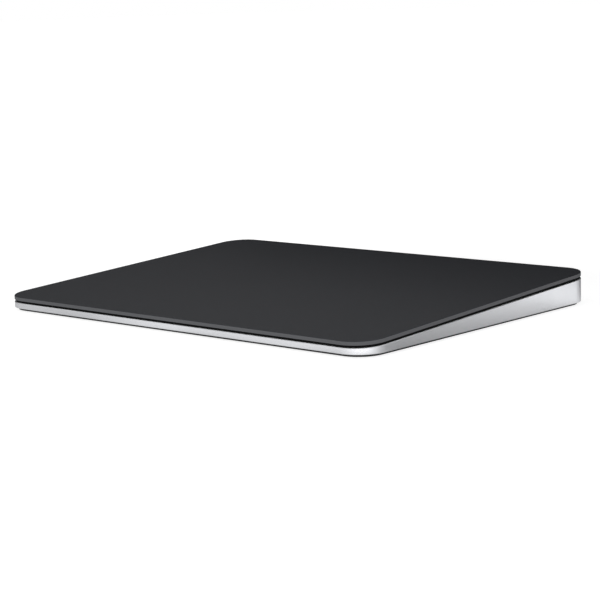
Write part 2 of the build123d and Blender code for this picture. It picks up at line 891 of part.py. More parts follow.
guide_length = slider_length + switch_travel + 2 * (guide_clearance + guide_rail)
guide_height = slider_height + 2 * (guide_clearance + guide_rail)
guide_depth = slider_wall_gap + slider_thickness + guide_clearance + guide_thickness
with BuildPart() as switch_guide:
    with BuildSketch(upright_plane(wall_face)):
        with Locations((switch_x, port_height)):
            Rectangle(guide_length, guide_height)
    extrude(amount=guide_depth)
    with BuildSketch(upright_plane(wall_face)):
        with Locations((switch_x, port_height)):
            Rectangle(guide_length - 2 * guide_rail, guide_height - 2 * guide_rail)
    extrude(amount=guide_depth - guide_thickness, mode=Mode.SUBTRACT)
    with BuildSketch(upright_plane(wall_face)):
        with Locations((switch_x, port_height)):
            Rectangle(
                fork_length + switch_travel + 2 * guide_clearance,
                fork_height + 2 * guide_clearance,
            )
    extrude(amount=guide_depth + overrun, mode=Mode.SUBTRACT)
write_piece(switch_guide, "switch_guide")

switch_body_rear = port_board_rear - switch_body_setback
lever_level = port_board_top + lever_rise
with BuildPart() as slide_switch:
    with BuildSketch(upright_plane(switch_body_rear)):
        with Locations((switch_x, port_board_top + switch_body_height / 2)):
            Rectangle(switch_body_length, switch_body_height)
    extrude(amount=switch_body_depth)
    with BuildSketch(upright_plane(switch_body_rear)):
        with Locations((switch_x, lever_level)):
            Rectangle(
                lever_width + switch_travel + 2 * seat_clearance,
                lever_height + 2 * seat_clearance,
            )
    extrude(amount=lever_root + seat_clearance, mode=Mode.SUBTRACT)
write_piece(slide_switch, "slide_switch")

lever_tip = slider_front - lever_tip_gap
with BuildPart() as switch_lever:
    with BuildSketch(upright_plane(lever_tip)):
        with Locations((knob_x, lever_level)):
            Rectangle(lever_width, lever_height)
    extrude(amount=lever_tip - switch_body_rear + lever_root)
write_piece(switch_lever, "switch_lever")


# Tray, milled from one block: walls under the glass, posts on a thin floor
def floor_posts(spots, post_length, post_depth, drop):
    """Posts that stand on the tray floor and end on one deck plane."""
    with BuildPart() as posts:
        with BuildSketch(Plane.XY.offset(floor_top)):
            with Locations(*spots):
                Rectangle(post_length, post_depth)
        extrude(amount=rear_height)
        split(bisect_by=deck_plane(drop), keep=Keep.BOTTOM)
    return posts.part


def plan_spots(spots, drop):
    """The x and y of spots that are given as (u, v) on a deck plane."""
    return [(u, deck_point(drop, v)[0]) for u, v in spots]


tab_spots = [(side * tab_u, end * support_v) for side, end in corners.values()]
beam_posts = floor_posts(
    plan_spots(tab_spots, beam_bottom_drop),
    tab_length + 2 * boss_margin,
    tab_depth + 2 * boss_margin,
    beam_bottom_drop,
)
drive_posts = floor_posts(
    plan_spots(drive_screw_spots, bracket_bottom_drop),
    pedestal_size,
    pedestal_size,
    bracket_bottom_drop,
)
guard_post_x = guard_length / 2 - guard_post_inset
fence_length = cell_length + 2 * fence_gap
fence_depth = cell_depth + 2 * fence_gap

with BuildPart() as enclosure:
    with BuildSketch(Plane.XY.offset(case_bottom)):
        RectangleRounded(width, depth, corner_radius)
    extrude(amount=rear_height)
    split(bisect_by=deck_plane(rim_drop), keep=Keep.BOTTOM)
    rim_face = enclosure.faces().filter_by(deck_plane(rim_drop))[0]
    chamfer(rim_face.edges(), rim_bevel)
    heel_face = enclosure.faces().filter_by(Axis.Z).sort_by(Axis.Z)[0]
    fillet(heel_face.edges(), heel_radius)
    with BuildSketch(Plane.XY.offset(floor_top)):
        RectangleRounded(inner_width, inner_depth, inner_radius)
    extrude(amount=rear_height, mode=Mode.SUBTRACT)
    add(beam_posts)
    add(drive_posts)
    # Round standoffs for the rear board, and two posts for the guard board
    with BuildSketch(Plane.XY.offset(floor_top)):
        with Locations(*port_screw_spots):
            Circle(standoff_radius)
    extrude(amount=standoff_height)
    with BuildSketch(Plane.XY.offset(floor_top)):
        with Locations((-guard_post_x, guard_middle), (guard_post_x, guard_middle)):
            Circle(guard_post_radius)
    extrude(amount=guard_post_height)
    # Low fence round the corners of the battery
    with BuildSketch(Plane.XY.offset(floor_top)):
        with Locations((0, cell_middle)):
            Rectangle(fence_length + 2 * fence_thickness, fence_depth + 2 * fence_thickness)
            Rectangle(fence_length, fence_depth, mode=Mode.SUBTRACT)
            Rectangle(
                fence_length * (1 - 2 * fence_corner_share),
                fence_depth + 2 * (fence_thickness + overrun),
                mode=Mode.SUBTRACT,
            )
            Rectangle(
                fence_length + 2 * (fence_thickness + overrun),
                fence_depth - 2 * fence_length * fence_corner_share,
                mode=Mode.SUBTRACT,
            )
    extrude(amount=fence_height)
    # Threaded holes
    for side, end in corners.values():
        with Locations(*tab_screw_places(side, end, beam_bottom_drop)):
            Cylinder(
                beam_screw_radius + thread_clearance,
                beam_screw_reach + screw_tip_gap,
                align=down,
                mode=Mode.SUBTRACT,
            )
    with Locations(*[deck_place(bracket_bottom_drop, u, v) for u, v in drive_screw_spots]):
        Cylinder(
            drive_screw_radius + thread_clearance,
            drive_screw_reach + screw_tip_gap,
            align=down,
            mode=Mode.SUBTRACT,
        )
    with Locations(*[(x, y, port_board_bottom) for x, y in port_screw_spots]):
        Cylinder(
            port_screw_radius + thread_clearance,
            port_screw_reach + screw_tip_gap,
            align=down,
            mode=Mode.SUBTRACT,
        )
    # Openings in the rear wall
    with BuildSketch(upright_plane(rear_face + overrun)):
        with Locations((0, port_height)):
            SlotOverall(shell_width + 2 * seat_clearance, shell_height + 2 * seat_clearance)
        with Locations((switch_x, port_height)):
            RectangleRounded(slot_length, slot_height, knob_edge + knob_clearance)
    extrude(amount=wall_thickness + 2 * overrun, mode=Mode.SUBTRACT)
write_piece(enclosure, "enclosure")

# Soft seal on the rim, clear of the glass above it
with BuildPart() as rim_seal:
    with BuildSketch(deck_plane(rim_drop)):
        RectangleRounded(
            width - 2 * seal_inset, slope_depth - 2 * seal_inset, corner_radius - seal_inset
        )
        RectangleRounded(
            width - 2 * (seal_inset + seal_width),
            slope_depth - 2 * (seal_inset + seal_width),
            corner_radius - seal_inset - seal_width,
            mode=Mode.SUBTRACT,
        )
    extrude(amount=seal_height)
write_piece(rim_seal, "rim_seal")

# Panel under the tray, with its adhesive and the feet sunk into it
foot_spots = {
    corner: (side * (width / 2 - foot_inset), end * (depth / 2 - foot_inset))
    for corner, (side, end) in corners.items()
}
panel_width = width - 2 * base_inset
panel_depth = depth - 2 * base_inset
panel_radius = corner_radius - base_inset
adhesive_margin = base_adhesive_inset + base_adhesive_width

with BuildPart() as base_adhesive:
    with BuildSketch(Plane.XY.offset(base_top)):
        RectangleRounded(
            panel_width - 2 * base_adhesive_inset,
            panel_depth - 2 * base_adhesive_inset,
            panel_radius - base_adhesive_inset,
        )
        Rectangle(
            panel_width - 2 * adhesive_margin,
            panel_depth - 2 * adhesive_margin,
            mode=Mode.SUBTRACT,
        )
    extrude(amount=base_adhesive_thickness)
write_piece(base_adhesive, "base_adhesive")

with BuildPart() as base_panel:
    with BuildSketch(Plane.XY.offset(base_bottom)):
        RectangleRounded(panel_width, panel_depth, panel_radius)
    extrude(amount=base_thickness)
    under_face = base_panel.faces().filter_by(Axis.Z).sort_by(Axis.Z)[0]
    fillet(under_face.edges(), base_edge)
    with BuildSketch(Plane.XY.offset(base_bottom)):
        with Locations(*foot_spots.values()):
            Circle(foot_radius + seat_clearance)
    extrude(amount=foot_recess, mode=Mode.SUBTRACT)
write_piece(base_panel, "base_panel")


def rubber_foot(spot):
    """One round foot with a softened lower edge."""
    with BuildPart() as foot:
        with BuildSketch():
            with Locations(spot):
                Circle(foot_radius)
        extrude(amount=foot_standout + foot_recess)
        sole = foot.faces().filter_by(Axis.Z).sort_by(Axis.Z)[0]
        fillet(sole.edges(), foot_edge)
    return foot


for corner, spot in foot_spots.items():
    write_piece(rubber_foot(spot), f"foot_{corner}")
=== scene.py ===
# %% [markdown]
# # A wedge-shaped trackpad in matt glass and bead-blasted aluminium
# The engineering model already gives every piece its true size and place.
# This lesson dresses those pieces. Each finish is built from noise and plain
# numbers, so that the part looks right from a step away and from a hand's
# breadth, and from any side.
#
# Shapes are left as they are: a flat glass plate over a milled tray has no
# soft or carved form that a second mesh would draw better than the solid. The
# one exception is inside, where the coils of the drive get their windings.

# %% Set up
import math
import bpy
import numpy as np
from mathutils import Matrix, Vector


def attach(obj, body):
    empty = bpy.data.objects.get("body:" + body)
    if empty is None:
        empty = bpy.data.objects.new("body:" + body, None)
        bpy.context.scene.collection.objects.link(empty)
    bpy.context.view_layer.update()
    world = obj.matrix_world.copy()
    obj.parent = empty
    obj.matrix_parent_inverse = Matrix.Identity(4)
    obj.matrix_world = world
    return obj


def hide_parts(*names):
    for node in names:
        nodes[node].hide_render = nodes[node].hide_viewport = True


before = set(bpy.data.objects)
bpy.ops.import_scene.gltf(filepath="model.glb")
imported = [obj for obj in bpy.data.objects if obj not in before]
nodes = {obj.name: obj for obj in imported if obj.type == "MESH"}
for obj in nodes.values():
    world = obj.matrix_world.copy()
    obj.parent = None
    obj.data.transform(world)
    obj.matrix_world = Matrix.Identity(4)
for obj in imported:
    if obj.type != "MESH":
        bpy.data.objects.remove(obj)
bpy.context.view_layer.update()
MM = 0.001
print("pieces from the engineering model:", len(nodes))

# %% [markdown]
# ## Colours and nodes
# A colour is easiest to choose as a web code, but shaders work in linear
# light, where half the number is half the light. One function converts the
# code, so that no colour is converted by eye.
#
# Materials could be clicked together in the shader editor. Written out, each
# one is a recipe that can be read, compared and changed. A single function
# adds a node, whatever its kind: properties go in by name, and each socket
# takes either a value or a link.

# %% Helpers for colours and nodes
def linear(code):
    """A web colour such as '#3b3c40' as linear red, green, blue and alpha.

    Each channel c is c / 12.92 up to 0.04045, and ((c + 0.055) / 1.055) to
    the power 2.4 above it.
    """
    c = np.array([int(code[i:i + 2], 16) / 255 for i in (1, 3, 5)])
    light = np.where(c <= 0.04045, c / 12.92, ((c + 0.055) / 1.055) ** 2.4)
    return [float(v) for v in light] + [1.0]


def add(tree, kind, sockets=None, **properties):
    """Adds one node. Sockets go by name or number and take a value or a link."""
    node = tree.nodes.new(kind)
    for name, value in properties.items():
        setattr(node, name, value)
    for name, value in (sockets or {}).items():
        if isinstance(value, bpy.types.NodeSocket):
            tree.links.new(value, node.inputs[name])
        else:
            node.inputs[name].default_value = value
    return node


def blank(name):
    """A material that holds an output node and nothing else."""
    material = bpy.data.materials.new(name)
    material.use_nodes = True
    tree = material.node_tree
    tree.nodes.clear()
    return material, tree, tree.nodes.new("ShaderNodeOutputMaterial")


def turns(size):
    """Noise scale in turns per metre for a feature of that size in mm."""
    return 1.0 / (size * MM)


print("mid grey #808080 is", round(linear("#808080")[0], 3), "in linear light")

# %% [markdown]
# ## One recipe for most finishes
# A real surface differs from a flat colour in four ways: its colour drifts
# slowly over centimetres, its gloss changes from grain to grain, its grain
# stands up a few micrometres, and handling leaves dull patches. The recipe
# below has one part for each, and every size in it is a real size in mm.
#
# Image textures would show all this too, but they tie the part to one
# picture size and need a layout for every piece. Noise in object coordinates
# needs none, and stays with the piece when it moves.

# %% The recipe
DRIFT_LEAST, DRIFT_MOST = 0.35, 0.65   # share of the light colour, least and most
GRAIN_NONE, GRAIN_FULL = 0.3, 0.7      # noise values that count as no grain and as full grain
GRAIN_DETAIL = 3.0
LIFT = 0.5                             # strength of the grain's height
HANDLED = 22.0                         # mm across one dull patch left by handling
HANDLED_FROM, HANDLED_FULL = 0.45, 0.7   # noise values where a patch starts and is full
HANDLED_DEPTH = 0.05                   # how much rougher a dull patch is


def finish(name, light, dark, drift, grain, rough, bump,
           metal=0.0, ior=1.5, level=0.5, draw=(1, 1, 1)):
    """A finish with colour drift, grain in gloss and height, and dull patches.

    Drift, grain and bump are in mm. Draw squeezes the grain along an axis,
    so that it shows the direction in which a sheet was rolled or drawn.
    """
    material, tree, output = blank(name)
    place = add(tree, "ShaderNodeTexCoord").outputs["Object"]
    drawn = add(tree, "ShaderNodeMapping", {"Vector": place, "Scale": draw})
    slow = add(tree, "ShaderNodeTexNoise", {"Vector": place, "Scale": turns(drift)})
    fine = add(tree, "ShaderNodeTexNoise",
               {"Vector": drawn.outputs[0], "Scale": turns(grain), "Detail": GRAIN_DETAIL})
    worn = add(tree, "ShaderNodeTexNoise", {"Vector": place, "Scale": turns(HANDLED)})
    blend = add(tree, "ShaderNodeMapRange",
                {"Value": slow.outputs[0], "To Min": DRIFT_LEAST, "To Max": DRIFT_MOST})
    colour = add(tree, "ShaderNodeMix", {0: blend.outputs[0], 6: linear(dark), 7: linear(light)},
                 data_type="RGBA")
    gloss = add(tree, "ShaderNodeMapRange",
                {"Value": fine.outputs[0], "From Min": GRAIN_NONE, "From Max": GRAIN_FULL,
                 "To Min": rough[0], "To Max": rough[1]})
    patch = add(tree, "ShaderNodeMapRange",
                {"Value": worn.outputs[0], "From Min": HANDLED_FROM, "From Max": HANDLED_FULL,
                 "To Min": 0.0, "To Max": HANDLED_DEPTH})
    both = add(tree, "ShaderNodeMath", {0: gloss.outputs[0], 1: patch.outputs[0]}, operation="ADD")
    lift = add(tree, "ShaderNodeBump",
               {"Height": fine.outputs[0], "Strength": LIFT, "Distance": bump * MM})
    shader = add(tree, "ShaderNodeBsdfPrincipled",
                 {"Base Color": colour.outputs[2], "Roughness": both.outputs[0],
                  "Normal": lift.outputs[0], "Metallic": metal, "IOR": ior,
                  "Specular IOR Level": level})
    tree.links.new(shader.outputs[0], output.inputs[0])
    return material


def dress(material, *names):
    """Gives one material to the named pieces of the engineering model."""
    for name in names:
        slots = nodes[name].data.materials
        if len(slots):
            for index in range(len(slots)):
                slots[index] = material
        else:
            slots.append(material)
    print(material.name, "on", len(names), "piece" + "s" * (len(names) > 1))


print("dull patches are", HANDLED, "mm across")

# %% [markdown]
# ## The cover glass
# The plate is clear glass with dark ink printed under it. Its top is etched
# so that a finger glides, and the etch scatters every reflection, so the
# glass looks like slate. The rim is ground and has no ink behind it, which
# makes it clearly lighter than the top.
#
# Clear glass over a separate layer of ink would be truer, but the ink lets
# nothing through, so all of that light would be traced for nothing. An opaque
# shader with two colours gives the same picture. Which colour shows is told
# by the slope of the face: the top is nearly level, the rim is upright.

# %% Cover glass
TOP_LIGHT, TOP_DARK = "#2e2f32", "#2a2b2e"
RIM_LIGHT, RIM_DARK = "#646568", "#5d5e61"
RIM_SLOPE, TOP_SLOPE = 0.2, 0.35   # upward share of the normal, at most for rim, at least for top
CLOUD = 30.0                       # mm across one slow change of the ink
CLOUD_LEAST, CLOUD_MOST = 0.3, 0.7
ETCH = 0.08                        # mm; real pits are a few micrometres wide, too fine to show
ETCH_DETAIL = 2.0
ETCH_DEPTH = 0.004                 # mm
ETCH_LIFT = 0.4
ETCH_SMOOTH, ETCH_ROUGH = 0.5, 0.62
ETCHED_LEVEL = 0.12                # the etch scatters most of the mirror light away


def cover_glass():
    """Etched top and ground rim, split by the slope of the face."""
    material, tree, output = blank("etched_glass")
    place = add(tree, "ShaderNodeTexCoord").outputs["Object"]
    facing = add(tree, "ShaderNodeNewGeometry").outputs["True Normal"]
    slope = add(tree, "ShaderNodeSeparateXYZ", {"Vector": facing})
    upright = add(tree, "ShaderNodeMapRange",
                  {"Value": slope.outputs["Z"], "From Min": RIM_SLOPE, "From Max": TOP_SLOPE,
                   "To Min": 1.0, "To Max": 0.0})
    cloud = add(tree, "ShaderNodeTexNoise",
                {"Vector": place, "Scale": turns(CLOUD), "Detail": GRAIN_DETAIL})
    etch = add(tree, "ShaderNodeTexNoise",
               {"Vector": place, "Scale": turns(ETCH), "Detail": ETCH_DETAIL})
    blend = add(tree, "ShaderNodeMapRange",
                {"Value": cloud.outputs[0], "To Min": CLOUD_LEAST, "To Max": CLOUD_MOST})
    top = add(tree, "ShaderNodeMix",
              {0: blend.outputs[0], 6: linear(TOP_DARK), 7: linear(TOP_LIGHT)}, data_type="RGBA")
    rim = add(tree, "ShaderNodeMix",
              {0: blend.outputs[0], 6: linear(RIM_DARK), 7: linear(RIM_LIGHT)}, data_type="RGBA")
    colour = add(tree, "ShaderNodeMix",
                 {0: upright.outputs[0], 6: top.outputs[2], 7: rim.outputs[2]}, data_type="RGBA")
    gloss = add(tree, "ShaderNodeMapRange",
                {"Value": etch.outputs[0], "From Min": GRAIN_NONE, "From Max": GRAIN_FULL,
                 "To Min": ETCH_SMOOTH, "To Max": ETCH_ROUGH})
    lift = add(tree, "ShaderNodeBump",
               {"Height": etch.outputs[0], "Strength": ETCH_LIFT, "Distance": ETCH_DEPTH * MM})
    shader = add(tree, "ShaderNodeBsdfPrincipled",
                 {"Base Color": colour.outputs[2], "Roughness": gloss.outputs[0],
                  "Normal": lift.outputs[0], "IOR": 1.5, "Specular IOR Level": ETCHED_LEVEL})
    tree.links.new(shader.outputs[0], output.inputs[0])
    return material


dress(cover_glass(), "touch_glass")

# %% [markdown]
# ## Bead-blasted aluminium
# The tray is milled from one plate, blasted with glass beads and anodised.
# Blasting leaves pits about a tenth of a millimetre wide, and anodising then
# evens the gloss, so reflections turn into soft bands.
#
# The metal shader with a fairly rough, finely pitted surface reads as that.
# A smoother one looks like polished steel, and a grey plastic shader loses
# the bands round the corners, which are what says metal.

# %% Aluminium
aluminium = finish("anodised_aluminium", "#dbdcdf", "#d1d2d5", drift=25, grain=0.12,
                   rough=(0.35, 0.45), bump=0.006, metal=1.0)
dress(aluminium, "enclosure", "switch_knob")

# %% [markdown]
# ## Panel, feet and seal
# Three dark pieces show round the outside. The panel under the tray is
# moulded nylon with a spark texture a quarter of a millimetre coarse. Its
# near-black colour is partly painted shade. The nylon is dark, and it is made
# near black so that its thin edge also draws the shadow in the gap under the tray.
# The feet are silicone rubber, duller and a little lighter from dust. The seal
# in the gap is black foam that swallows light, so the gap reads as a dark line.
#
# One black for all three would melt them together. Their gloss differs more
# than their colour, so the ranges of roughness do most of the work.

# %% Dark pieces
# The panel's near-black colour is dark nylon plus painted shade for the gap under the tray.
dress(finish("nylon_and_painted_shade", "#17181a", "#121315", drift=12, grain=0.25, rough=(0.55, 0.7),
             bump=0.02, ior=1.53), "base_panel")
dress(finish("silicone_rubber", "#363637", "#303031", drift=5, grain=0.2, rough=(0.75, 0.9),
             bump=0.015, ior=1.43, level=0.3),
      "foot_front_left", "foot_front_right", "foot_rear_left", "foot_rear_right")
dress(finish("seal_foam", "#191919", "#101010", drift=1, grain=0.1, rough=(0.85, 0.95),
             bump=0.03, level=0.1), "rim_seal")

# %% [markdown]
# ## The stack under the glass
# Glass, sensing board and a steel plate are bonded with black film. The board
# has a black solder mask with a satin sheen, its chips are moulded epoxy and
# matt, and the can over them is tinned steel. The plate is rolled steel.
#
# Rolling draws the grain out along the sheet. Squeezing the noise along X to a
# fraction stretches it there by the inverse, which draws the same marks.

# %% Stack finishes
dress(finish("bond_film", "#1d1d1f", "#151517", drift=8, grain=0.4, rough=(0.5, 0.65), bump=0.004),
      "glass_adhesive", "stiffener_adhesive", "base_adhesive", "battery_adhesive")
dress(finish("solder_mask", "#16191a", "#0f1213", drift=5, grain=0.2, rough=(0.35, 0.5),
             bump=0.004), "touch_board", "port_board", "battery_guard_board")
dress(finish("moulded_epoxy", "#232324", "#1a1a1b", drift=2, grain=0.08, rough=(0.6, 0.75),
             bump=0.004), "touch_board_chips", "port_board_chips", "battery_guard_chips")
dress(finish("tinned_steel", "#b9b8b3", "#a9a8a4", drift=4, grain=0.2, rough=(0.25, 0.4),
             bump=0.003, metal=1.0), "touch_board_shield", "radio_shield")
dress(finish("connector_nylon", "#cfc8b8", "#c4bdac", drift=2, grain=0.1, rough=(0.45, 0.6),
             bump=0.003, ior=1.53), "touch_socket", "lead_sockets")
ROLLED_ALONG_X = (0.06, 1, 1)
dress(finish("rolled_steel", "#a6a6a8", "#939396", drift=9, grain=0.3, rough=(0.28, 0.45),
             bump=0.003, metal=1.0, draw=ROLLED_ALONG_X), "stiffener_plate", "attraction_plate")

# %% [markdown]
# ## Springs, pads and the drive
# The glass rests on four spring steel beams with gel pads. Gauges of amber
# film on the beams feel the press. Under the middle sits the drive: iron
# cores in enamelled copper coils that tug at a steel plate.
#
# The amber comes from the film's polyimide and the red from the copper under
# clear enamel. Copper is a metal shader with a coloured base, since a metal
# tints its reflections, while plastic never does.

# %% Suspension and drive finishes
beams = [name for name in nodes if name.startswith("force_beam")]
STRAIGHT_GRAIN = (0.1, 1, 1)
dress(finish("spring_steel", "#b4b4b6", "#a2a2a5", drift=6, grain=0.2, rough=(0.22, 0.36),
             bump=0.002, metal=1.0, draw=STRAIGHT_GRAIN), "actuator_bracket", *beams)
dress(finish("gel_rubber", "#2c2c30", "#242428", drift=2, grain=0.3, rough=(0.3, 0.45),
             bump=0.004, ior=1.41), "gel_pads")
dress(finish("polyimide_film", "#b9742a", "#a8651f", drift=1, grain=0.1, rough=(0.3, 0.45),
             bump=0.002, ior=1.7), "strain_gauges")
dress(finish("screw_steel", "#7c7c7f", "#6a6a6d", drift=1, grain=0.1, rough=(0.3, 0.45),
             bump=0.003, metal=1.0), "beam_screws", "actuator_screws", "port_board_screws")
dress(finish("core_iron", "#4a4a4b", "#3b3b3c", drift=2, grain=0.1, rough=(0.5, 0.65),
             bump=0.006, metal=1.0), "actuator_cores")
enamelled_copper = finish("enamelled_copper", "#b5652f", "#9a4f22", drift=1, grain=0.14,
                          rough=(0.25, 0.4), bump=0.004, metal=1.0)
dress(enamelled_copper, "actuator_coils")
dress(finish("flat_lead_film", "#2a2723", "#1f1d1a", drift=3, grain=0.2, rough=(0.3, 0.45),
             bump=0.003), "actuator_lead", "battery_lead", "deck_lead")

# %% [markdown]
# ## Battery, socket and switch
# The cell is a pouch of coated foil with soft wrinkles a millimetre wide, so
# its grain is far coarser than any other. The socket's shell is drawn steel
# round a black tongue with gold contacts. The flag beside the knob is green,
# so that a glance tells when the switch is on.
#
# The pouch is coated metal: part metal, part plastic to the eye. A partly
# metallic shader is no real substance, but for thin lacquer over foil it is
# the simplest fair likeness.

# %% Battery, socket and switch finishes
dress(finish("coated_foil", "#3d3e41", "#2f3033", drift=10, grain=1.2, rough=(0.4, 0.55),
             bump=0.05, metal=0.4), "battery_cell")
dress(finish("nickel_strip", "#bdbab2", "#aba8a0", drift=1, grain=0.1, rough=(0.25, 0.4),
             bump=0.003, metal=1.0), "battery_tabs")
dress(finish("antenna_ceramic", "#e2e1dc", "#d5d4cf", drift=1, grain=0.08, rough=(0.5, 0.65),
             bump=0.003, ior=1.7), "antenna")
DRAWN_ALONG_Y = (1, 0.1, 1)
dress(finish("drawn_steel", "#b6b6b9", "#a5a5a8", drift=2, grain=0.15, rough=(0.22, 0.35),
             bump=0.002, metal=1.0, draw=DRAWN_ALONG_Y), "usb_shell", "port_clamp", "slide_switch")
dress(finish("glass_filled_nylon", "#1a1a1b", "#121213", drift=1, grain=0.08, rough=(0.5, 0.65),
             bump=0.003, ior=1.53), "usb_tongue", "switch_guide", "switch_lever")
dress(finish("contact_gold", "#d8b25a", "#c79f48", drift=0.5, grain=0.06, rough=(0.2, 0.3),
             bump=0.001, metal=1.0), "usb_contacts")
dress(finish("green_plastic", "#3aa54a", "#2f9440", drift=1, grain=0.1, rough=(0.45, 0.6),
             bump=0.003, ior=1.54), "switch_flag")
bare = [name for name, piece in nodes.items() if not piece.data.materials]
print("pieces without a finish:", bare)

# %% [markdown]
# ## Windings of the drive
# The coils show when the glass is off. A real one is lacquered copper wire
# laid turn beside turn, layer on layer, round an iron tooth. The solid has
# the right ring, but its walls are smooth. The wire here is thicker than a
# real one, so that its turns can be told apart.
#
# One wire followed turn by turn would be a very long tube for something this
# small. The walls of the ring get a groove between turns instead, worked out
# in the section, and the section is carried round the ring. Its outline stays
# inside the solid it stands for.

# %% The section of a winding
TURNS, LAYERS = 16, 3   # across the band and up its height
BAND = 3.8              # mm from the inner to the outer wall
GROOVE = 0.35           # depth of a groove as a share of the wire's width
GROOVE_STEPS = 6        # points from one groove to the next
BASE_STEPS = 4          # points along the plain underside


def grooved(length, count):
    """Places along one wall and the depth there.

    Between two grooves the wall follows a half circle: with t from -1 to 1
    across a wire, the depth is 1 minus the root of 1 - t squared.
    """
    x = np.linspace(0, length, count * GROOVE_STEPS, endpoint=False)
    t = 2 * ((x * count / length) % 1) - 1
    towards_edge = np.clip(np.minimum(x, length - x) * count / length, 0, 1)
    return x, GROOVE * length / count * (1 - np.sqrt(1 - t ** 2)) * towards_edge


def winding_section(band, height):
    """The closed outline of the band: out along the top, down, back and up."""
    x, dip = grooved(band, TURNS)
    y, dent = grooved(height, LAYERS)
    base = np.linspace(band, 0, BASE_STEPS, endpoint=False)
    out = np.concatenate([x, band - dent, base, dent])
    up = np.concatenate([height - dip, height - y, np.zeros(BASE_STEPS), y])
    return out, up


print("one turn of wire is", round(BAND / TURNS, 2), "mm wide")

# %% [markdown]
# ### Round the tooth
# A coil wound on a square tooth is tight at its inner corners and wide at its
# outer ones. Each point of the section follows its own rounded rectangle, so
# turns stay side by side all the way round. Bending a straight band would
# bunch them up at the corners instead.

# %% The ring
INNER_BEND, OUTER_BEND = 0.6, 5.25   # mm, radii of the ring's corners
CORNER_STEPS = 10                    # points round one corner
CORNER_U = np.array([1, -1, -1, 1])  # side of each corner, going round
CORNER_V = np.array([1, 1, -1, -1])


def ring(half_u, half_v, out, up):
    """Carries the section round a rounded rectangle.

    At a distance d from the inner wall the half sides are longer by d, and
    the corner radius r goes evenly from the inner to the outer bend. A point
    is a corner's centre plus r times the direction at that angle.
    """
    corner = np.arange(4).repeat(CORNER_STEPS)
    angle = np.radians(90 * corner + np.tile(np.linspace(0, 90, CORNER_STEPS), 4))
    side_u, side_v = CORNER_U[corner], CORNER_V[corner]
    bend = (INNER_BEND + (OUTER_BEND - INNER_BEND) * out / (BAND * MM)) * MM
    u = side_u[:, None] * (half_u + out - bend) + np.cos(angle)[:, None] * bend
    v = side_v[:, None] * (half_v + out - bend) + np.sin(angle)[:, None] * bend
    return u, v, np.broadcast_to(up, u.shape)


def closed_grid(rows, columns):
    """The faces of a grid that meets itself both ways, as on a doughnut.

    Point (i, j) has number i * columns + j, and a face joins it to (i + 1, j),
    (i + 1, j + 1) and (i, j + 1), counted round past the last one.
    """
    i, j = np.meshgrid(np.arange(rows), np.arange(columns), indexing="ij")
    i, j = i.ravel(), j.ravel()
    k, m = (i + 1) % rows, (j + 1) % columns
    corners = [i * columns + j, k * columns + j, k * columns + m, i * columns + m]
    return np.stack(corners, axis=-1)


print("points round one ring:", 4 * CORNER_STEPS)

# %% [markdown]
# ### Where the coils are
# The coils lie in the slope of the wedge, so their place can't be read off the
# world's axes. The faces of the solid that look up give the plane, and in that
# plane each coil is a plain box to measure. Typing the places in would work
# too, until the model changes.

# %% Places of the coils
COILS = 3              # side by side along X
LOOKS_UP = 0.9         # upward share of the normal of a top face


def rows_of(items, name):
    """A property with three numbers of every vertex or face, as rows."""
    flat = np.empty(len(items) * 3)
    items.foreach_get(name, flat)
    return flat.reshape(-1, 3)


def coil_axes(solid):
    """Along X, across the slope and square to it, as three rows."""
    facing = rows_of(solid.polygons, "normal")
    plane = facing[facing[:, 2] > LOOKS_UP].mean(axis=0)
    plane /= np.linalg.norm(plane)
    across = np.array([1.0, 0.0, 0.0])
    return np.array([across, np.cross(plane, across), plane])


def coil_boxes(solid, axes):
    """The lowest and highest corner of each coil along the coils' own axes."""
    local = rows_of(solid.vertices, "co") @ axes.T
    share = (local[:, 0] - local[:, 0].min()) / np.ptp(local[:, 0])
    column = np.clip(np.round(share * COILS - 0.5), 0, COILS - 1)
    parts = [local[column == n] for n in range(COILS)]
    return [(part.min(axis=0), part.max(axis=0)) for part in parts]


solid_coils = nodes["actuator_coils"].data
axes = coil_axes(solid_coils)
boxes = coil_boxes(solid_coils, axes)
print("coils in mm:", [np.round((high - low) / MM, 2).tolist() for low, high in boxes])

# %% [markdown]
# ### One mesh for the coils
# The rings stand on one core and never move apart, so they are one piece, as
# in the model. Each ring is a grid that meets itself both ways, like the skin
# of a doughnut, so no seam or pole is left to close. A tube from the curve
# tools would need its section bent round by hand at every corner.

# %% Coil windings
def coil_windings():
    """One grooved ring in each coil's box, all in one mesh with its faces outwards."""
    places, faces, start = [], [], 0
    for low, high in boxes:
        middle, half = (low + high) / 2, (high - low) / 2
        out, up = winding_section(BAND * MM, high[2] - low[2])
        u, v, h = ring(half[0] - BAND * MM, half[1] - BAND * MM, out, up)
        grid = np.stack([u + middle[0], v + middle[1], h + low[2]], axis=-1)
        places.append(grid.reshape(-1, 3) @ axes)
        faces.append(closed_grid(*grid.shape[:2]) + start)
        start += len(places[-1])
    places, faces = np.concatenate(places), np.concatenate(faces)
    a, b, c = (places[faces[:, n]] for n in (0, 1, 2))
    if (np.cross(b - a, c - a) * a).sum() < 0:
        faces = faces[:, ::-1]
    mesh = bpy.data.meshes.new("coil_windings")
    mesh.from_pydata(places.tolist(), [], faces.tolist())
    mesh.materials.append(enamelled_copper)
    mesh.polygons.foreach_set("use_smooth", np.ones(len(mesh.polygons), dtype=bool))
    piece = bpy.data.objects.new("coil_windings", mesh)
    bpy.context.scene.collection.objects.link(piece)
    print("coil windings:", len(mesh.vertices), "points and", len(mesh.polygons), "faces")
    return piece


windings = coil_windings()
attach(windings, "case")
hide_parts("actuator_coils")

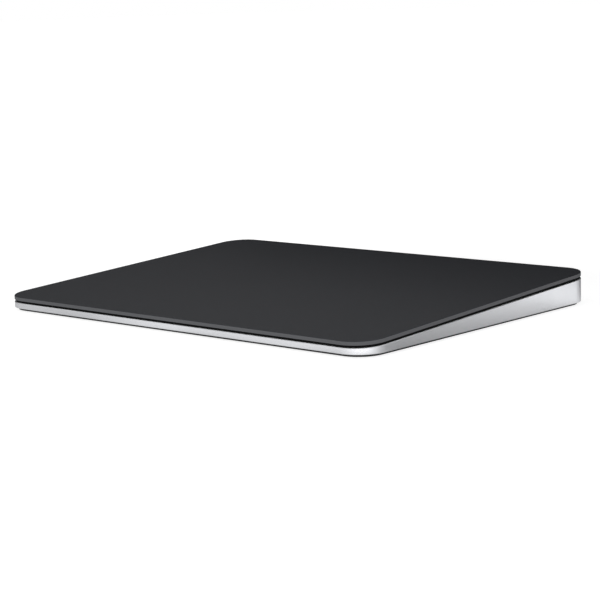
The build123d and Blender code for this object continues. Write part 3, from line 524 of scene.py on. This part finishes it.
# %% [markdown]
# ## Strengths of the light
# The photograph has a plain white ground. Here the sky is plain white as well,
# so a colour renders about as it is written. White alone would wash the part
# out, so it stands between cards, as it would in a studio: dark ones behind
# it, which the glass mirrors, and soft-edged ones on the floor, which the
# metal mirrors as bands.
#
# Painting the bands into the metal would match this one picture too, but they
# would be wrong in every other. Each card was rendered alone, and the
# strengths were then solved so that the greys on the metal agree. A few cards
# were moved by trial after that. Those at the left and the rear light the
# sides that the picture doesn't show.

# %% Cards and strengths
SKY_WHITE = 1.0
FLOOR_GLOW, FAR_GLOW = 0.83, 1.0       # round the part and further off
GLOW_NEAR, GLOW_FAR = 104.0, 165.0     # mm from the middle, where the glow rises
FLOOR_PAINT, FLOOR_BOUNCE = "#989898", "#d4d4d4"
FLOOR_DROP = 0.01                      # mm, so that the feet and the floor never share a face
CARD_RISE = 0.1                        # mm over the ground
CARD_FULL, CARD_GONE = 350.0, 750.0    # mm from the middle, where the cards fade into the floor
PATCH_FULL, PATCH_GONE = 0.3, 1.5      # half widths, where a card's light starts to fall and ends
GROUND_CARDS = [
    # name, x and y of the middle in mm, half width in mm, strength
    ("all_round", 0, 0, 4000, 0.26),
    ("corner", 115, -92, 42, 3.8),
    ("right_middle", 112, 0, 36, 0.26),
    ("right_far", 112, 45, 36, 0.6),
    ("right_end", 120, 76, 30, 1.3),
    ("right_tip", 89, 56, 12, 0.45),
    ("front_right", 45, -90, 36, 1.13),
    ("front_middle", -10, -90, 36, 1.14),
    ("front_left", -70, -90, 40, 0.63),
    ("rear_left", -65, 112, 45, 1.7),
    ("rear_right", 5, 114, 40, 1.9),
    ("left", -122, 0, 55, 1.1),
]
UPRIGHT_CARDS = [
    # name, place in mm, aimed at in mm, width and height in mm
    ("behind_left", (-390, 150, 105), (0, 0, 60), (440, 250)),
    ("behind_right", (-130, 400, 130), (0, 0, 60), (420, 340)),
    ("behind_far_right", (110, 430, 100), (70, 60, 10), (330, 260)),
    ("over_far_edge", (12, 124, 66), (2, 35, 8), (330, 92)),
]
print(len(GROUND_CARDS), "cards on the floor and", len(UPRIGHT_CARDS), "upright ones")

# %% [markdown]
# ## One helper for floor and cards
# The floor and every card are plain rectangles, as they would be in a studio:
# a painted board and sheets of foam. Four points and one face are enough.
# Adding a plane from the menu gives the same, but it depends on what is
# selected and where the cursor stands.

# %% A flat card
def flat_card(name, width, depth, material):
    """A rectangle in the ground plane, centred on the origin."""
    x, y = width / 2, depth / 2
    mesh = bpy.data.meshes.new(name)
    mesh.from_pydata([(-x, -y, 0), (x, -y, 0), (x, y, 0), (-x, y, 0)], [], [(0, 1, 2, 3)])
    mesh.materials.append(material)
    card = bpy.data.objects.new(name, mesh)
    bpy.context.scene.collection.objects.link(card)
    return card


print("each card has 4 points and 1 face")

# %% [markdown]
# ## The floor
# Pale paint lit by a white sky comes out light grey, never pure white. More
# light would fix the floor and burn out the metal, so the paint glows a
# little instead, just enough to reach white where nothing shades it. Under
# the part the sky is hidden, and a faint shadow is left. Further off the glow
# rises to full, or the floor would show the shade of the cards as well.
#
# The eye and every mirror see that glow. Soft light bounced off the floor
# comes from the plain paint, or the glow would light the part from below.

# %% Floor
FLOOR_SIDE = 24.0    # m, wide enough to reach the horizon of the picture
FLOOR_ROUGH = 0.9


def floor_material():
    """Glowing white for the eye and for mirrors, plain paint for soft light."""
    material, tree, output = blank("floor_white")
    place = add(tree, "ShaderNodeTexCoord").outputs["Object"]
    away = add(tree, "ShaderNodeVectorMath", {0: place}, operation="LENGTH")
    glow = add(tree, "ShaderNodeMapRange",
               {"Value": away.outputs["Value"],
                "From Min": GLOW_NEAR * MM, "From Max": GLOW_FAR * MM,
                "To Min": FLOOR_GLOW, "To Max": FAR_GLOW}, interpolation_type="SMOOTHSTEP")
    white = add(tree, "ShaderNodeBsdfPrincipled",
                {"Base Color": linear(FLOOR_PAINT), "Roughness": FLOOR_ROUGH,
                 "Specular IOR Level": 0.0, "Emission Color": (1, 1, 1, 1),
                 "Emission Strength": glow.outputs[0]})
    paint = add(tree, "ShaderNodeBsdfDiffuse", {"Color": linear(FLOOR_BOUNCE)})
    path = add(tree, "ShaderNodeLightPath").outputs
    direct = add(tree, "ShaderNodeMath", {0: path["Is Camera Ray"], 1: path["Is Glossy Ray"]},
                 operation="MAXIMUM")
    seen = add(tree, "ShaderNodeMath", {0: direct.outputs[0], 1: path["Is Transmission Ray"]},
               operation="MAXIMUM")
    mix = add(tree, "ShaderNodeMixShader",
              {0: seen.outputs[0], 1: paint.outputs[0], 2: white.outputs[0]})
    tree.links.new(mix.outputs[0], output.inputs[0])
    return material


floor = flat_card("floor", FLOOR_SIDE, FLOOR_SIDE, floor_material())
floor.location.z = -FLOOR_DROP * MM
print("floor", FLOOR_SIDE, "m wide")

# %% [markdown]
# ## Cards on the floor
# Each card is a round patch of light with a soft edge, so no border shows in
# the metal. They are all drawn on one thin sheet, as a sum of patches, which
# fades to clear far from the part. Separate lamps would do the same work but
# would each throw a highlight of their own on the glass.
#
# Only mirrors see the sheet, as they would see a card just outside the
# picture. The eye and soft light pass through it, and it throws no shadow.

# %% Ground cards
def ground_card_material():
    """The sum of all patches, each of them its strength times a smooth step down.

    The step goes from 1 at PATCH_FULL half widths from the middle of the
    patch to 0 at PATCH_GONE half widths.
    """
    material, tree, output = blank("ground_cards")
    place = add(tree, "ShaderNodeTexCoord").outputs["Object"]
    total = 0.0
    for _, x, y, reach, strength in GROUND_CARDS:
        away = add(tree, "ShaderNodeVectorMath", {0: place, 1: (x * MM, y * MM, 0)},
                   operation="DISTANCE")
        patch = add(tree, "ShaderNodeMapRange",
                    {"Value": away.outputs["Value"], "From Min": PATCH_GONE * reach * MM,
                     "From Max": PATCH_FULL * reach * MM}, interpolation_type="SMOOTHSTEP")
        total = add(tree, "ShaderNodeMath", {0: patch.outputs[0], 1: strength, 2: total},
                    operation="MULTIPLY_ADD").outputs[0]
    light = add(tree, "ShaderNodeEmission", {"Color": (1, 1, 1, 1), "Strength": total})
    middle = add(tree, "ShaderNodeVectorMath", {0: place}, operation="LENGTH")
    near = add(tree, "ShaderNodeMapRange",
               {"Value": middle.outputs["Value"], "From Min": CARD_GONE * MM,
                "From Max": CARD_FULL * MM}, interpolation_type="SMOOTHSTEP")
    clear = add(tree, "ShaderNodeBsdfTransparent")
    mix = add(tree, "ShaderNodeMixShader",
              {0: near.outputs[0], 1: clear.outputs[0], 2: light.outputs[0]})
    tree.links.new(mix.outputs[0], output.inputs[0])
    return material


SHEET_SIDE = 2 * CARD_GONE * MM
ground = flat_card("ground_cards", SHEET_SIDE, SHEET_SIDE, ground_card_material())
ground.location.z = CARD_RISE * MM
ground.visible_camera = ground.visible_diffuse = ground.visible_shadow = False
print("brightest card:", max(GROUND_CARDS, key=lambda card: card[4])[0])

# %% [markdown]
# ## Sky and upright cards
# A white sky lights everything evenly, like a tent of cloth. Seen at a low
# angle, even etched glass mirrors what stands behind it, so dark cards stand
# there and keep the top dark. They are real cards that also shade the part,
# and only the camera looks through them.

# %% Sky and dark cards
FELT = "#101010"


def white_sky():
    """One even white in every direction."""
    world = bpy.data.worlds.new("studio")
    bpy.context.scene.world = world
    world.use_nodes = True
    tree = world.node_tree
    tree.nodes.clear()
    light = add(tree, "ShaderNodeBackground", {"Color": (1, 1, 1, 1), "Strength": SKY_WHITE})
    tree.links.new(light.outputs[0], tree.nodes.new("ShaderNodeOutputWorld").inputs[0])


def upright_card(name, place, aim, size, material):
    """A dark card out of the camera's sight that faces the part."""
    card = flat_card(name, size[0] * MM, size[1] * MM, material)
    back = (Vector(place) - Vector(aim)).normalized()
    turn = back.to_track_quat("Z", "Y").to_matrix().to_4x4()
    card.matrix_world = Matrix.Translation(Vector(place) * MM) @ turn
    card.visible_camera = False
    return card


white_sky()
felt, felt_tree, felt_output = blank("black_felt")
cloth = add(felt_tree, "ShaderNodeBsdfDiffuse", {"Color": linear(FELT)})
felt_tree.links.new(cloth.outputs[0], felt_output.inputs[0])
[upright_card(*card, felt) for card in UPRIGHT_CARDS]
print("dark cards:", [card[0] for card in UPRIGHT_CARDS])

# %% [markdown]
# ## The camera
# The viewpoint was worked out from the straight edges in the photograph. Where
# parallel edges seem to meet tells the direction, and how fast they close in
# tells the distance: 0.58 m away, 42 degrees round from the front and 9
# degrees up. Setting it by eye would leave the wedge a little off, and the
# wedge is most of what makes this shape.

# %% Camera
CAMERA_SPOT = Vector((0.39975, -0.43343, 0.09990))
CAMERA_AIM = Vector((0.01415, -0.01167, 0.0050))
CAMERA_ROLL = math.radians(-1.83)
CAMERA_LENS, FILM_WIDTH = 107.77, 36.0   # mm
NEAREST, FURTHEST = 0.01, 100.0          # m, what the camera draws


def photo_camera():
    """Looks from the spot to the aim, rolled about the line of sight."""
    back = (CAMERA_SPOT - CAMERA_AIM).normalized()
    right = Vector((0, 0, 1)).cross(back).normalized()
    over = back.cross(right)
    c, s = math.cos(CAMERA_ROLL), math.sin(CAMERA_ROLL)
    across, upward = right * c + over * s, over * c - right * s
    data = bpy.data.cameras.new("photo_camera")
    data.lens = CAMERA_LENS
    data.sensor_width = FILM_WIDTH
    data.clip_start, data.clip_end = NEAREST, FURTHEST
    camera = bpy.data.objects.new("photo_camera", data)
    bpy.context.scene.collection.objects.link(camera)
    turn = Matrix((across, upward, back)).transposed().to_4x4()
    camera.matrix_world = Matrix.Translation(CAMERA_SPOT) @ turn
    bpy.context.scene.camera = camera


photo_camera()
bpy.context.scene.view_settings.view_transform = "Standard"
print("camera", round((CAMERA_SPOT - CAMERA_AIM).length, 3), "m from its aim")
